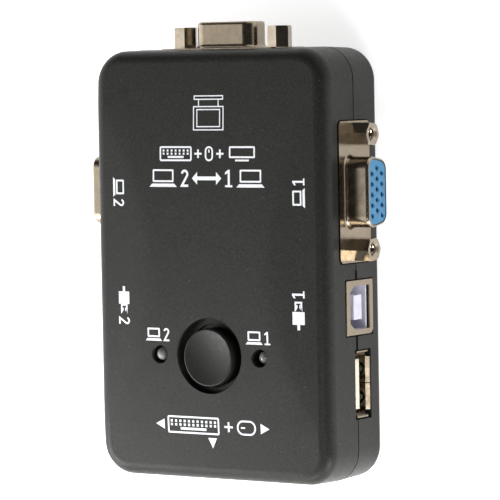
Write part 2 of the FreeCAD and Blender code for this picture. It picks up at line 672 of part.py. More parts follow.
def push_button():
    y = BUTTON_CENTRE_Y
    cap = rod(BUTTON_RADIUS, V(0, y, BUTTON_BOTTOM), Z_AXIS, BUTTON_TOP - BUTTON_BOTTOM)
    cap = cap.makeFillet(0.35, edges_in_plane(cap, Z_AXIS, BUTTON_TOP))
    dish_radius = 26.5
    dish_depth = 0.7
    dish = Part.makeSphere(dish_radius, V(0, y, BUTTON_TOP - dish_depth + dish_radius))
    skirt = rod(BUTTON_RADIUS + 1.1, V(0, y, BUTTON_BOTTOM), Z_AXIS, FLANGE_TOP - BUTTON_BOTTOM)
    cap = joined([cap.cut(dish), skirt])
    hollow_height = BUTTON_TOP - 1.0 - BUTTON_BOTTOM
    hollow = rod(BUTTON_RADIUS - 1.2, V(0, y, BUTTON_BOTTOM - 1), Z_AXIS, hollow_height)
    collar = rod(3.2, V(0, y, BUTTON_BOTTOM), Z_AXIS, BUTTON_TOP - 1.5 - BUTTON_BOTTOM)
    cap = joined([cap.cut(hollow), collar])
    socket = block(-STEM_HALF, STEM_HALF, BUTTON_Y - STEM_HALF, BUTTON_Y + STEM_HALF,
                   BUTTON_BOTTOM - 1, BUTTON_TOP - 2.2)
    return [cap.cut(socket)]


def switch_plunger():
    y = BUTTON_Y
    slider = block(-SLIDER_HALF_X, SLIDER_HALF_X, y - SLIDER_HALF_Y, y + SLIDER_HALF_Y,
                   SLIDER_BOTTOM, SLIDER_TOP)
    stem = block(-STEM_HALF, STEM_HALF, y - STEM_HALF, y + STEM_HALF, SLIDER_TOP - 0.5, BUTTON_TOP - 2.25)
    body = joined([slider, stem])
    spring_seat = rod(SPRING_RADIUS + 0.5, V(0, y, SLIDER_BOTTOM - 1), Z_AXIS, 2.6)
    cam_pocket = block(-1.6, 1.6, y + SLIDER_HALF_Y - 0.9, y + SLIDER_HALF_Y + 1,
                       SLIDER_BOTTOM - 1, SLIDER_TOP - 0.4)
    cam_heart = rod(0.35, V(0, y + SLIDER_HALF_Y - 1.0, SLIDER_BOTTOM + 0.9), Y_AXIS, 0.4)
    return [joined([body.cut([spring_seat, cam_pocket]), cam_heart])]


def switch_housing():
    y = BUTTON_Y
    outer = block(-SWITCH_HALF_X, SWITCH_HALF_X, y - SWITCH_HALF_Y, y + SWITCH_HALF_Y,
                  BOARD_TOP, SWITCH_TOP)
    outer = outer.makeFillet(0.4, edges_along(outer, Z_AXIS))
    inner = block(-SWITCH_HALF_X + SWITCH_WALL, SWITCH_HALF_X - SWITCH_WALL,
                  y - SWITCH_HALF_Y + SWITCH_WALL, y + SWITCH_HALF_Y - SWITCH_WALL,
                  BOARD_TOP + SWITCH_WALL, SWITCH_TOP - SWITCH_WALL)
    window = block(-STEM_HALF - 0.1, STEM_HALF + 0.1, y - STEM_HALF - 0.1, y + STEM_HALF + 0.1,
                   SWITCH_TOP - 3, SWITCH_TOP + 1)
    shell = outer.cut([inner, window])
    spring_post = rod(SPRING_RADIUS - 0.8, V(0, y, BOARD_TOP + 0.5), Z_AXIS, 1.2)
    pivot_hole = rod(0.35, V(0, y + SWITCH_HALF_Y - 1.5, LATCH_PIVOT_Z), Y_AXIS, 3)
    return [joined([shell, spring_post]).cut([pivot_hole] + terminal_holes())]


LATCH_PIVOT_Z = BOARD_TOP + 2.0
LATCH_TIP_Z = SLIDER_BOTTOM - 0.35
LATCH_WIRE_RADIUS = 0.25


def switch_latch_wire():
    """A thin wire that hangs on the housing's wall; its tip follows the cam in the slider."""
    wall = BUTTON_Y + SWITCH_HALF_Y - SWITCH_WALL
    plane = BUTTON_Y + SLIDER_HALF_Y + 0.55
    pivot = rod(LATCH_WIRE_RADIUS, V(0, plane, LATCH_PIVOT_Z), Y_AXIS, wall + 0.8 - plane)
    upright = rod(LATCH_WIRE_RADIUS, V(0, plane, LATCH_PIVOT_Z), Z_AXIS, LATCH_TIP_Z - LATCH_PIVOT_Z)
    tip = rod(LATCH_WIRE_RADIUS, V(0, plane - 0.75, LATCH_TIP_Z), Y_AXIS, 0.75)
    elbows = [Part.makeSphere(LATCH_WIRE_RADIUS, V(0, plane, z)) for z in (LATCH_PIVOT_Z, LATCH_TIP_Z)]
    return [joined([pivot, upright, tip] + elbows)]


def terminal_places():
    """(x, y) of the switch's terminals: six in a row down each long side."""
    places = []
    for x in (-SWITCH_HALF_X + 1.25, SWITCH_HALF_X - 1.25):
        for i in range(6):
            places.append((x, BUTTON_Y + (i - 2.5) * 2.6))
    return places


def terminal_holes():
    holes = []
    for x, y in terminal_places():
        holes.append(block(x - 0.15, x + 0.15, y - 0.45, y + 0.45, BOARD_TOP - 1, BOARD_TOP + 2))
    return holes


def switch_terminals():
    terminals = []
    for x, y in terminal_places():
        blade = block(x - 0.15, x + 0.15, y - 0.45, y + 0.45,
                      BOARD_BOTTOM - LEAD_TAIL, SWITCH_TOP - SWITCH_WALL - 1.2)
        terminals.append(blade)
    return terminals


def switch_bridges():
    """Spring clips on the slider, one for each three terminals."""
    bridges = []
    for side in (-1, 1):
        for i in (-1, 1):
            y = BUTTON_Y + i * 3.9
            x0, x1 = sorted((side * SLIDER_HALF_X, side * (SLIDER_HALF_X + 0.25)))
            clip = block(x0, x1, y - 2.9, y + 2.9, SLIDER_BOTTOM + 0.6, SLIDER_TOP - 0.6)
            nub_x = side * (SLIDER_HALF_X + 0.25)
            nubs = []
            for offset in (-1.3, 1.3):
                nubs.append(Part.makeSphere(0.45, V(nub_x - side * 0.15, y + offset, SLIDER_BOTTOM + 1.6)))
            bridges.append(joined([clip] + nubs))
    outer = []
    for clip in bridges:
        outer.append(clip.cut(block(-SLIDER_HALF_X, SLIDER_HALF_X, -90, 90, 0, 40)))
    return outer


def return_spring():
    """Compression spring from the housing's floor to the pocket under the slider."""
    low = SPRING_FOOT + SPRING_WIRE + 0.02
    high = SLIDER_BOTTOM + 1.6 - SPRING_WIRE - 0.02
    pitch = (high - low) / SPRING_TURNS
    helix = Part.makeHelix(pitch, high - low, SPRING_RADIUS)
    section = Part.Wire(Part.makeCircle(SPRING_WIRE, V(SPRING_RADIUS, 0, 0), Y_AXIS))
    coil = Part.Wire(helix).makePipeShell([section], True, True)
    coil.translate(V(0, BUTTON_Y, low))
    return [coil]


# ---------------------------------------------------------------- LEDs and small parts

LED_BODY = 3.8                  # collar to the start of the dome
LED_COLLAR = 1.0


def led_lens(x, top, lean):
    dome_centre = top - LED_RADIUS
    base = dome_centre - LED_BODY
    lens = joined([
        rod(LED_RADIUS, V(0, 0, base), Z_AXIS, LED_BODY),
        Part.makeSphere(LED_RADIUS, V(0, 0, dome_centre)),
        rod(LED_RADIUS + 0.3, V(0, 0, base), Z_AXIS, LED_COLLAR),
    ])
    holes = [rod(0.45, V(offset, 0, base - 1), Z_AXIS, 3.0) for offset in (-0.7, 0.7)]
    lens = lens.cut(holes)
    lens.rotate(V(0, 0, base), Y_AXIS, lean)
    return [moved(lens, x, BUTTON_Y)]


def led_lens_left():
    return led_lens(-LED_X, FACE_Z - LED_LEFT_SUNK, 0.0)


def led_lens_right():
    return led_lens(LED_X, FACE_Z - LED_RIGHT_SUNK, LED_RIGHT_LEAN_DEG)


def led_leads(x, base):
    leads = []
    for offset in (-0.7, 0.7):
        foot = BOARD_BOTTOM - LEAD_TAIL
        leads.append(rod(0.25, V(x + offset, BUTTON_Y, foot), Z_AXIS, base - foot + 1.5))
    return leads


def led_leads_left():
    return led_leads(-LED_X, FACE_Z - LED_LEFT_SUNK - LED_RADIUS - LED_BODY)


def led_leads_right():
    return led_leads(LED_X, FACE_Z - LED_RIGHT_SUNK - LED_RADIUS - LED_BODY - 0.2)


def axial_part(x, y, radius, length):
    """A small through-hole part lying along X; returns its body and its bent leads."""
    z = BOARD_TOP + radius + 0.3
    body = rod(radius, V(x - length / 2, y, z), X_AXIS, length)
    body = body.makeFillet(radius * 0.45, body.Edges[0:1] + body.Edges[2:3])
    reach = length / 2 + 1.4
    foot = BOARD_BOTTOM - LEAD_TAIL
    leads = []
    for side in (-1, 1):
        x0, x1 = sorted((x + side * (length / 2 - 0.3), x + side * reach))
        leads.append(rod(0.25, V(x0, y, z), X_AXIS, x1 - x0))
        leads.append(rod(0.25, V(x + side * reach, y, foot), Z_AXIS, z - foot))
        leads.append(Part.makeSphere(0.25, V(x + side * reach, y, z)))
    return joined([body] + leads)


RESISTOR_PLACES = [(-7, 0), (-7, 3.2), (-7, 6.4), (7, 0), (7, 3.2), (7, 6.4)]
DIODE_PLACES = [(-7, 12), (-7, 15), (7, 12), (7, 15)]
CAPACITOR_PLACES = [(-5, 23), (5, 23)]


def resistors():
    return [axial_part(x, y, 0.95, 3.6) for x, y in RESISTOR_PLACES]


def diodes():
    return [axial_part(x, y, 0.8, 3.2) for x, y in DIODE_PLACES]


def capacitors():
    cans = []
    for x, y in CAPACITOR_PLACES:
        can = rod(2.5, V(x, y, BOARD_TOP + 0.2), Z_AXIS, 7.0)
        can = can.makeFillet(0.4, edges_in_plane(can, Z_AXIS, BOARD_TOP + 7.2))
        foot = BOARD_BOTTOM - LEAD_TAIL
        legs = [rod(0.25, V(x + dx, y, foot), Z_AXIS, BOARD_TOP + 0.4 - foot) for dx in (-1, 1)]
        cans.append(joined([can] + legs))
    return cans


# ---------------------------------------------------------------- sockets in place

def all_round(maker):
    """The three video sockets' pieces: right, left and top."""
    return {
        "right": [place_right(piece, VGA_SIDE_Y) for piece in maker()],
        "left": [place_left(piece, VGA_SIDE_Y) for piece in maker()],
        "top": [place_top(piece) for piece in maker()],
    }


def both_sides(maker, y):
    return {
        "right": [place_right(piece, y) for piece in maker()],
        "left": [place_left(piece, y) for piece in maker()],
    }


def usb_a_all(maker):
    places = both_sides(maker, USB_A_SIDE_Y)
    places["bottom"] = [place_bottom(piece) for piece in maker()]
    return places


def circuit_board(through_parts):
    """The board, notched round the screw bosses and drilled for every lead."""
    board = block(-BOARD_HALF_WIDTH, BOARD_HALF_WIDTH, -BOARD_HALF_LENGTH, BOARD_HALF_LENGTH,
                  BOARD_BOTTOM, BOARD_TOP)
    notches = []
    for x, y in corner_points(SCREW_X, SCREW_Y):
        x0, x1 = sorted((x - math.copysign(4.0, x), x + math.copysign(9, x)))
        y0, y1 = sorted((y - math.copysign(4.0, y), y + math.copysign(9, y)))
        notches.append(block(x0, x1, y0, y1, 0, 20))
    holes = []
    middle = (BOARD_BOTTOM + BOARD_TOP) / 2
    slab = block(-60, 60, -60, 60, middle - 0.05, middle + 0.05)
    for piece in through_parts:
        if piece.BoundBox.ZMin > middle:
            continue
        for lead in slab.common(piece).Solids:
            box = lead.BoundBox
            radius = max(box.XLength, box.YLength) / 2 + 0.15
            holes.append(rod(radius, V(box.Center.x, box.Center.y, 0), Z_AXIS, 20))
    return board.cut(notches + holes)


# ---------------------------------------------------------------- write the nodes

def save(name, pieces):
    for piece in pieces:
        if not piece.isValid() or len(piece.Solids) != 1:
            raise RuntimeError(name + " has a bad piece")
    shape = pieces[0] if len(pieces) == 1 else Part.makeCompound(pieces)
    shape.translate(V(0, CASE_Y, 0))
    shape.exportStep(os.path.join("parts", name + ".step"))


def main():
    os.makedirs("parts", exist_ok=True)
    nodes = {}
    for maker, stem in ((vga_shell, "shell"), (vga_insulator, "insulator"), (vga_contacts, "contacts"),
                        (vga_housing, "housing"), (vga_posts, "jack_posts")):
        for side, pieces in all_round(maker).items():
            nodes["vga_" + side + "_" + stem] = pieces
    for maker, stem in ((usb_b_shell, "shell"), (usb_b_insulator, "insulator"),
                        (usb_b_contacts, "contacts")):
        for side, pieces in both_sides(maker, USB_B_SIDE_Y).items():
            nodes["usb_b_" + side + "_" + stem] = pieces
    for maker, stem in ((usb_a_shell, "shell"), (usb_a_insulator, "insulator"),
                        (usb_a_contacts, "contacts")):
        for side, pieces in usb_a_all(maker).items():
            nodes["usb_a_" + side + "_" + stem] = pieces
    nodes["vga_top_jack_posts"] = [place_top(piece) for piece in vga_posts(TOP_POST_TURNS_DEG)]
    nodes["switch_terminals"] = switch_terminals()
    nodes["led_leads_left"] = led_leads_left()
    nodes["led_leads_right"] = led_leads_right()
    nodes["resistors"] = resistors()
    nodes["diodes"] = diodes()
    nodes["capacitors"] = capacitors()
    leaded = [piece for pieces in nodes.values() for piece in pieces]
    nodes["circuit_board"] = [circuit_board(leaded)]
    nodes["top_cover"] = [top_cover()]
    nodes["bottom_cover"] = [bottom_cover()]
    nodes["push_button"] = push_button()
    nodes["switch_housing"] = switch_housing()
    nodes["switch_plunger"] = switch_plunger()
    nodes["switch_latch_wire"] = switch_latch_wire()
    nodes["switch_bridges"] = switch_bridges()
    nodes["return_spring"] = return_spring()
    nodes["led_lens_left"] = led_lens_left()
    nodes["led_lens_right"] = led_lens_right()
    nodes["case_screws"] = case_screws()
    nodes["rubber_feet"] = rubber_feet()
    for name, pieces in nodes.items():
        save(name, pieces)
    print(len(nodes), "nodes")


main()
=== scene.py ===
# Looks of a two-way keyboard, video and mouse switch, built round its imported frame:
# materials, printed marks, LED innards, screw threads and the button's spring, with a
# studio and a camera.
# Lengths are in millimetres until they meet Blender, where MM turns them into metres.

import math

import bmesh
import bpy
from mathutils import Matrix, Vector
from mathutils.bvhtree import BVHTree


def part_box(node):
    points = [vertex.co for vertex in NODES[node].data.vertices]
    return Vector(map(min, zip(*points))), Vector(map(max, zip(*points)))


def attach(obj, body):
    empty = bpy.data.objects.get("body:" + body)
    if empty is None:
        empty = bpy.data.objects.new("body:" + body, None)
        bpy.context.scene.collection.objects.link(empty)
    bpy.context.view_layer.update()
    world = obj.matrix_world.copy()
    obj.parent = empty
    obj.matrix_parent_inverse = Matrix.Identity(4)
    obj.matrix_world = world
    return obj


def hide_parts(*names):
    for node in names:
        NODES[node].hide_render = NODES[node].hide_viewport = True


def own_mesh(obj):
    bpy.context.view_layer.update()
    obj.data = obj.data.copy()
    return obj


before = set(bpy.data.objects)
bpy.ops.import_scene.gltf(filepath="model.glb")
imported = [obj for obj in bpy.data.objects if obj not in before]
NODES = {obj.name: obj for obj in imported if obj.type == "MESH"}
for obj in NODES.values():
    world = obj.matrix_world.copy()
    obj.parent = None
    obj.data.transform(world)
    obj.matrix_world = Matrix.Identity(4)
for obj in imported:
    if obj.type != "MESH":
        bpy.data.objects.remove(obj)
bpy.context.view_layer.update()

MM = 0.001
SIDES = ("right", "left", "top")

# ---- camera and studio ----
CAMERA_PLACE = (409.8, 43.0, 622.0)
CAMERA_TURN_DEG = (-3.363, 33.678, -1.043)      # about X, Y and Z, taken in the order Z, X, Y
CAMERA_LENS = 238.0
FLOOR_SIZE = 6000.0
FLOOR_GLOW = 0.72
ROOM_GLOW = 0.05
ROOM_HORIZON = 1.0
HORIZON_TOP = 0.42
# A wall of the room glows round a direction: within the first angle fully, past the second not.
ROOM_GLOWS = (
    ((-0.85, -0.35, 0.42), 28.0, 44.0, 2.0),
    ((0.35, 0.83, 0.42), 6.0, 24.0, 0.9),
    ((0.10, -0.95, 0.15), 15.0, 65.0, 0.5),
)
SOFTBOXES = (
    ("left_light", (-190, -130, 150), (0, -35, 20), 120, 120, 0.55),
    ("near_light", (-10, -230, 130), (0, -47, 15), 160, 90, 0.3),
    ("right_light", (85, -70, 205), (31, -30, 12), 60, 60, 0.05),
    ("side_light", (190, -200, 90), (31, -45, 10), 100, 100, 0.42),
)

# ---- printed marks ----
INK_PROUD = 0.02
INK_SUNK = 0.02
STROKE = 0.4
FINE_STROKE = 0.26
NUMERAL_STROKE = 0.42
ARC_STEPS = 10
SCREEN_MARK = (0.7, 33.65)
DEVICES_Y = 24.7
CHOICE_Y = 19.3
VIDEO_LABEL_Y = 16.2
USB_LABEL_Y = -9.2
LIGHT_LABEL_Y = -15.45
CONSOLE_Y = -35.4
BOTTOM_ARROW_Y = -39.2

# ---- screw threads in the jack posts ----
POST_SPACING = 25.0
POST_BORE_RADIUS = 1.2
POST_MOUTH_RADIUS = 1.75
POST_MOUTH_DEPTH = 0.4
THREAD_START = 4.1              # from the post's end face inwards
THREAD_LENGTH = 3.8
THREAD_PITCH = 0.635
THREAD_DEPTH = 0.17
THREAD_FLANK = 0.26             # from the crest to the root, along the bore
THREAD_SUNK = 0.03              # how far the root goes into the bore's wall
THREAD_STEPS = 24

# ---- spring under the button ----
SPRING_WIRE_RADIUS = 0.25
SPRING_TURNS = 4
SPRING_STEPS = 28

# ---- inside of an LED's dome ----
CUP_OUTLINE = ((0, 0), (0.3, 0), (0.36, 0.5), (0.62, 1.1), (0.56, 1.12), (0.3, 0.8), (0, 0.8))
CUP_STEPS = 24
CUP_FOOT = 2.1                  # above the lens's base
CUP_FLOOR = 0.8
CUP_X = -0.45                   # sideways from the lens's middle
LEAD_POST_X = 0.72
LEAD_POST_SIZE = (0.34, 0.5, 1.1)
LEAD_POST_MIDDLE = 2.7
LEAD_POST_TOP = 3.25
CHIP_SIZE = (0.28, 0.28, 0.2)
BOND_WIRE_RADIUS = 0.04
BOND_WIRE_RISE = 0.35
BOND_WIRE_STEPS = 8


# ---------------------------------------------------------------- materials

def srgb(red, green, blue):
    """A colour given as 0 to 255 screen values, in the linear form that shaders take."""
    linear = []
    for value in (red, green, blue):
        share = value / 255
        linear.append(share / 12.92 if share < 0.04045 else ((share + 0.055) / 1.055) ** 2.4)
    return (*linear, 1.0)


class Finish:
    """A Principled material whose colour, roughness and relief follow noise in the frame."""

    def __init__(self, name, colour, roughness, metallic=0.0, specular=0.5):
        self.material = bpy.data.materials.new(name)
        self.material.use_nodes = True
        self.tree = self.material.node_tree
        self.shader = self.tree.nodes["Principled BSDF"]
        self.shader.inputs["Base Color"].default_value = colour
        self.shader.inputs["Roughness"].default_value = roughness
        self.shader.inputs["Metallic"].default_value = metallic
        self.shader.inputs["Specular IOR Level"].default_value = specular
        self.colour = colour
        self.coloured = None
        self.relief = None
        self.place = self.tree.nodes.new("ShaderNodeTexCoord").outputs["Object"]

    def noise(self, size, detail=2.0, stretch=(1, 1, 1)):
        """Noise with features about size millimetres across, longer where stretch is under 1."""
        place = self.place
        if stretch != (1, 1, 1):
            mapping = self.tree.nodes.new("ShaderNodeMapping")
            mapping.inputs["Scale"].default_value = stretch
            self.tree.links.new(place, mapping.inputs["Vector"])
            place = mapping.outputs["Vector"]
        node = self.tree.nodes.new("ShaderNodeTexNoise")
        node.inputs["Scale"].default_value = 1 / (size * MM)
        node.inputs["Detail"].default_value = detail
        self.tree.links.new(place, node.inputs["Vector"])
        return node.outputs["Fac"]

    def ranged(self, value, low, high, start=0.35, stop=0.65):
        """A value's spread from start to stop, turned into low to high."""
        node = self.tree.nodes.new("ShaderNodeMapRange")
        node.inputs["From Min"].default_value = start
        node.inputs["From Max"].default_value = stop
        node.inputs["To Min"].default_value = low
        node.inputs["To Max"].default_value = high
        self.tree.links.new(value, node.inputs["Value"])
        return node.outputs["Result"]

    def tint(self, colour, factor):
        """Lay a colour over what is there, as much as the factor says."""
        node = self.tree.nodes.new("ShaderNodeMix")
        node.data_type = "RGBA"
        first, second = node.inputs[6], node.inputs[7]
        first.default_value = self.colour
        second.default_value = colour
        if self.coloured:
            self.tree.links.new(self.coloured, first)
        self.tree.links.new(factor, node.inputs[0])
        self.coloured = node.outputs[2]
        self.tree.links.new(self.coloured, self.shader.inputs["Base Color"])
        return self

    def mottle(self, colour, size, most=1.0, detail=3.0, stretch=(1, 1, 1)):
        return self.tint(colour, self.ranged(self.noise(size, detail, stretch), 0.0, most))

    def specks(self, colour, size, start=0.68, stop=0.74, most=1.0):
        return self.tint(colour, self.ranged(self.noise(size, 1.0), 0.0, most, start, stop))

    def polish(self, low, high, size, detail=3.0, stretch=(1, 1, 1)):
        """Let the roughness wander from low to high."""
        factor = self.ranged(self.noise(size, detail, stretch), low, high)
        self.tree.links.new(factor, self.shader.inputs["Roughness"])
        return self

    def grain(self, size, depth, strength=1.0, detail=2.0, stretch=(1, 1, 1)):
        """Relief with features of a size and a depth in millimetres."""
        node = self.tree.nodes.new("ShaderNodeBump")
        node.inputs["Strength"].default_value = strength
        node.inputs["Distance"].default_value = depth * MM
        self.tree.links.new(self.noise(size, detail, stretch), node.inputs["Height"])
        if self.relief:
            self.tree.links.new(self.relief, node.inputs["Normal"])
        self.relief = node.outputs["Normal"]
        self.tree.links.new(self.relief, self.shader.inputs["Normal"])
        return self

    def coat(self, weight, roughness):
        self.shader.inputs["Coat Weight"].default_value = weight
        self.shader.inputs["Coat Roughness"].default_value = roughness
        return self

    def clear(self, share, ior):
        self.shader.inputs["Transmission Weight"].default_value = share
        self.shader.inputs["IOR"].default_value = ior
        return self


def case_plastic():
    finish = Finish("case_plastic", srgb(32, 32, 30), 0.4, specular=0.17)
    finish.mottle(srgb(37, 37, 34), 5.0, 0.5)
    finish.mottle(srgb(52, 52, 48), 0.4, 0.5, 1.0)
    finish.specks(srgb(120, 118, 112), 0.5, 0.77, 0.81, 0.5)
    finish.polish(0.36, 0.44, 0.9)
    return finish.grain(0.45, 0.014).grain(0.16, 0.006)


def button_plastic():
    finish = Finish("button_plastic", srgb(30, 30, 28), 0.4, specular=0.2)
    finish.mottle(srgb(36, 36, 34), 1.5, 0.7)
    finish.polish(0.36, 0.48, 0.9)
    return finish.grain(0.35, 0.006)


def nickel(name, colour, stain, low, high):
    finish = Finish(name, colour, low, metallic=1.0)
    finish.mottle(stain, 3.0, 0.35)
    finish.polish(low, high, 1.5)
    return finish.grain(0.3, 0.0012)


def nickel_shell():
    return nickel("nickel_shell", srgb(152, 140, 123), srgb(134, 121, 103), 0.2, 0.28)


def nickel_posts():
    return nickel("nickel_posts", srgb(162, 151, 135), srgb(132, 118, 101), 0.14, 0.24)


def blue_insulator():
    finish = Finish("blue_insulator", srgb(44, 112, 156), 0.45)
    finish.mottle(srgb(60, 130, 170), 1.6, 0.7)
    finish.polish(0.38, 0.5, 0.8)
    return finish.grain(0.3, 0.004)


def pale_insulator():
    finish = Finish("pale_insulator", srgb(214, 212, 224), 0.45)
    finish.mottle(srgb(200, 198, 212), 1.8, 0.8)
    finish.polish(0.4, 0.52, 0.8)
    return finish.grain(0.3, 0.004)


def cream_insulator():
    finish = Finish("cream_insulator", srgb(226, 218, 200), 0.45)
    finish.mottle(srgb(214, 204, 184), 1.8, 0.8)
    finish.polish(0.4, 0.52, 0.8)
    return finish.grain(0.3, 0.004)


def black_moulding():
    finish = Finish("black_moulding", srgb(34, 34, 34), 0.5, specular=0.4)
    finish.mottle(srgb(46, 46, 45), 1.5, 0.7)
    finish.polish(0.42, 0.58, 1.0)
    return finish.grain(0.25, 0.005)


def gold_contacts():
    finish = Finish("gold_contacts", srgb(232, 190, 112), 0.25, metallic=1.0)
    finish.mottle(srgb(206, 158, 88), 0.8, 0.6)
    return finish.polish(0.2, 0.34, 0.5).grain(0.12, 0.002)


def tinned_metal():
    finish = Finish("tinned_metal", srgb(206, 206, 202), 0.35, metallic=1.0)
    finish.mottle(srgb(168, 168, 164), 0.7, 0.7)
    return finish.polish(0.28, 0.48, 0.4).grain(0.15, 0.004)


def spring_steel():
    finish = Finish("spring_steel", srgb(186, 186, 188), 0.3, metallic=1.0)
    finish.mottle(srgb(150, 148, 146), 0.6, 0.6)
    return finish.polish(0.22, 0.4, 0.4).grain(0.1, 0.002)


def screw_steel():
    finish = Finish("screw_steel", srgb(132, 130, 128), 0.35, metallic=1.0)
    finish.mottle(srgb(96, 94, 92), 0.9, 0.7)
    return finish.polish(0.28, 0.46, 0.5).grain(0.15, 0.004)


def circuit_board():
    finish = Finish("circuit_board", srgb(10, 40, 27), 0.4)
    finish.mottle(srgb(18, 58, 38), 1.4, 0.9, stretch=(1, 0.2, 1))
    finish.mottle(srgb(9, 34, 24), 6.0, 0.6)
    return finish.polish(0.3, 0.45, 2.0).grain(0.5, 0.01).coat(0.5, 0.2)


def switch_plunger():
    finish = Finish("switch_plunger", srgb(222, 222, 214), 0.4)
    finish.mottle(srgb(204, 204, 194), 1.5, 0.8)
    return finish.polish(0.34, 0.48, 0.9).grain(0.25, 0.004)


def small_parts():
    finish = Finish("small_parts", srgb(176, 148, 108), 0.4)
    finish.mottle(srgb(150, 122, 84), 0.8, 0.8)
    finish.mottle(srgb(96, 52, 36), 0.9, 0.8, stretch=(1, 0.05, 0.05))
    return finish.polish(0.3, 0.5, 0.6).grain(0.2, 0.004)


def clear_lens():
    finish = Finish("clear_lens", srgb(168, 170, 168), 0.04)
    finish.mottle(srgb(150, 152, 150), 1.0, 0.6)
    return finish.polish(0.02, 0.08, 0.7).grain(0.8, 0.003).clear(0.45, 1.52)


def foot_rubber():
    finish = Finish("foot_rubber", srgb(40, 40, 41), 0.8, specular=0.3)
    finish.mottle(srgb(54, 54, 54), 0.8, 0.8)
    return finish.polish(0.72, 0.88, 0.8).grain(0.3, 0.02)


def white_ink():
    finish = Finish("white_ink", srgb(240, 242, 246), 0.5)
    finish.mottle(srgb(222, 224, 230), 0.6, 0.6)
    return finish.polish(0.42, 0.6, 0.5).grain(0.2, 0.003)


def led_die():
    finish = Finish("led_die", srgb(226, 214, 170), 0.4)
    finish.mottle(srgb(240, 228, 190), 0.1, 0.8)
    return finish.polish(0.3, 0.5, 0.1).grain(0.05, 0.002)


def floor_paper():
    finish = Finish("floor_paper", srgb(246, 246, 246), 0.8, specular=0.2)
    finish.mottle(srgb(243, 243, 242), 60.0, 0.6)
    finish.shader.inputs["Emission Color"].default_value = (1.0, 1.0, 1.0, 1.0)
    finish.shader.inputs["Emission Strength"].default_value = FLOOR_GLOW
    return finish.polish(0.75, 0.85, 20.0).grain(0.6, 0.01)


def dress_frame():
    """Give each CAD node the detailed material of the slot that it came with."""
    made = {}
    makers = (case_plastic, button_plastic, nickel_shell, nickel_posts, blue_insulator, pale_insulator,
              black_moulding, gold_contacts, tinned_metal, spring_steel, screw_steel, circuit_board,
              switch_plunger, small_parts, clear_lens, foot_rubber)
    for maker in makers:
        made[maker.__name__] = maker().material
    for node in NODES.values():
        for place in node.material_slots:
            place.material = made[place.material.name.split(".")[0]]
    cream = cream_insulator().material
    for name, node in NODES.items():
        if name.startswith("usb_a_") and name.endswith("_insulator"):
            node.material_slots[0].material = cream
    return made


# ---------------------------------------------------------------- pieces

def new_piece(name, mesh, material, body="case"):
    """An object for a finished mesh, which rides on a body of the frame."""
    mesh.materials.clear()
    mesh.materials.append(material)
    piece = bpy.data.objects.new(name, mesh)
    bpy.context.scene.collection.objects.link(piece)
    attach(piece, body)
    return piece


def joined_mesh(name, meshes):
    """One mesh with everything in it, and the loose ones gone."""
    build = bmesh.new()
    for mesh in meshes:
        build.from_mesh(mesh)
        bpy.data.meshes.remove(mesh)
    result = bpy.data.meshes.new(name)
    bmesh.ops.recalc_face_normals(build, faces=build.faces)
    build.to_mesh(result)
    build.free()
    return result


def middle_of(node):
    low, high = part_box(node)
    return (low + high) / (2 * MM)


# ---------------------------------------------------------------- printed marks
# Each symbol is a list of closed outlines in millimetres round its own middle; an outline
# inside another is a hole.

def rectangle(x0, x1, y0, y1):
    return [(x0, y0), (x1, y0), (x1, y1), (x0, y1)]


def hollow(x0, x1, y0, y1, stroke=STROKE):
    return [rectangle(x0, x1, y0, y1), rectangle(x0 + stroke, x1 - stroke, y0 + stroke, y1 - stroke)]


def rounded(x0, x1, y0, y1, radius):
    """A rectangle with arcs for corners."""
    points = []
    centres = ((x1 - radius, y1 - radius), (x0 + radius, y1 - radius),
               (x0 + radius, y0 + radius), (x1 - radius, y0 + radius))
    for quarter, (x, y) in enumerate(centres):
        for i in range(ARC_STEPS + 1):
            angle = math.pi / 2 * (quarter + i / ARC_STEPS)
            points.append((x + radius * math.cos(angle), y + radius * math.sin(angle)))
    return points


def hollow_rounded(x0, x1, y0, y1, radius, stroke=STROKE):
    inner = max(radius - stroke, 0.05)
    return [rounded(x0, x1, y0, y1, radius),
            rounded(x0 + stroke, x1 - stroke, y0 + stroke, y1 - stroke, inner)]


def turned(outlines, degrees):
    cos, sin = math.cos(math.radians(degrees)), math.sin(math.radians(degrees))
    return [[(x * cos - y * sin, x * sin + y * cos) for x, y in points] for points in outlines]


def shifted(outlines, dx, dy=0.0):
    return [[(x + dx, y + dy) for x, y in points] for points in outlines]


def screen_symbol():
    """A screen on its stand, upside down for a reader at the other end of the case."""
    outlines = hollow(-3.9, 3.9, 2.85, 3.85, FINE_STROKE)
    outlines += hollow(-4.05, 4.05, -3.85, 1.5, FINE_STROKE)
    outlines += hollow(-3.15, 3.15, -3.15, 0.85, FINE_STROKE)
    for side in (-1, 1):
        outlines.append(rectangle(side * 2.6 - 0.12, side * 2.6 + 0.12, 1.5, 2.85))
    return outlines


def keyboard_symbol(width, height):
    """A frame with two rows of keys and a space bar."""
    half, tall = width / 2, height / 2
    outlines = hollow_rounded(-half, half, -tall, tall, 0.45, STROKE)
    key = height * 0.14
    columns = int(width / (key * 2.1)) - 1
    pitch = (width - 2.6 * STROKE) / columns
    for row in (0.42, 0.0):
        for column in range(columns):
            x = (column - (columns - 1) / 2) * pitch
            y = row * tall
            outlines.append(rectangle(x - key / 2, x + key / 2, y - key / 2, y + key / 2))
    y = -0.44 * tall
    outlines.append(rectangle(-half * 0.5, half * 0.5, y - key / 2, y + key / 2))
    return outlines


def mouse_symbol(height):
    half = height * 0.33
    tall = height / 2
    outlines = hollow_rounded(-half, half, -tall, tall, half * 0.98, STROKE)
    outlines.append(rounded(-0.17, 0.17, tall * 0.12, tall * 0.58, 0.16))
    return outlines


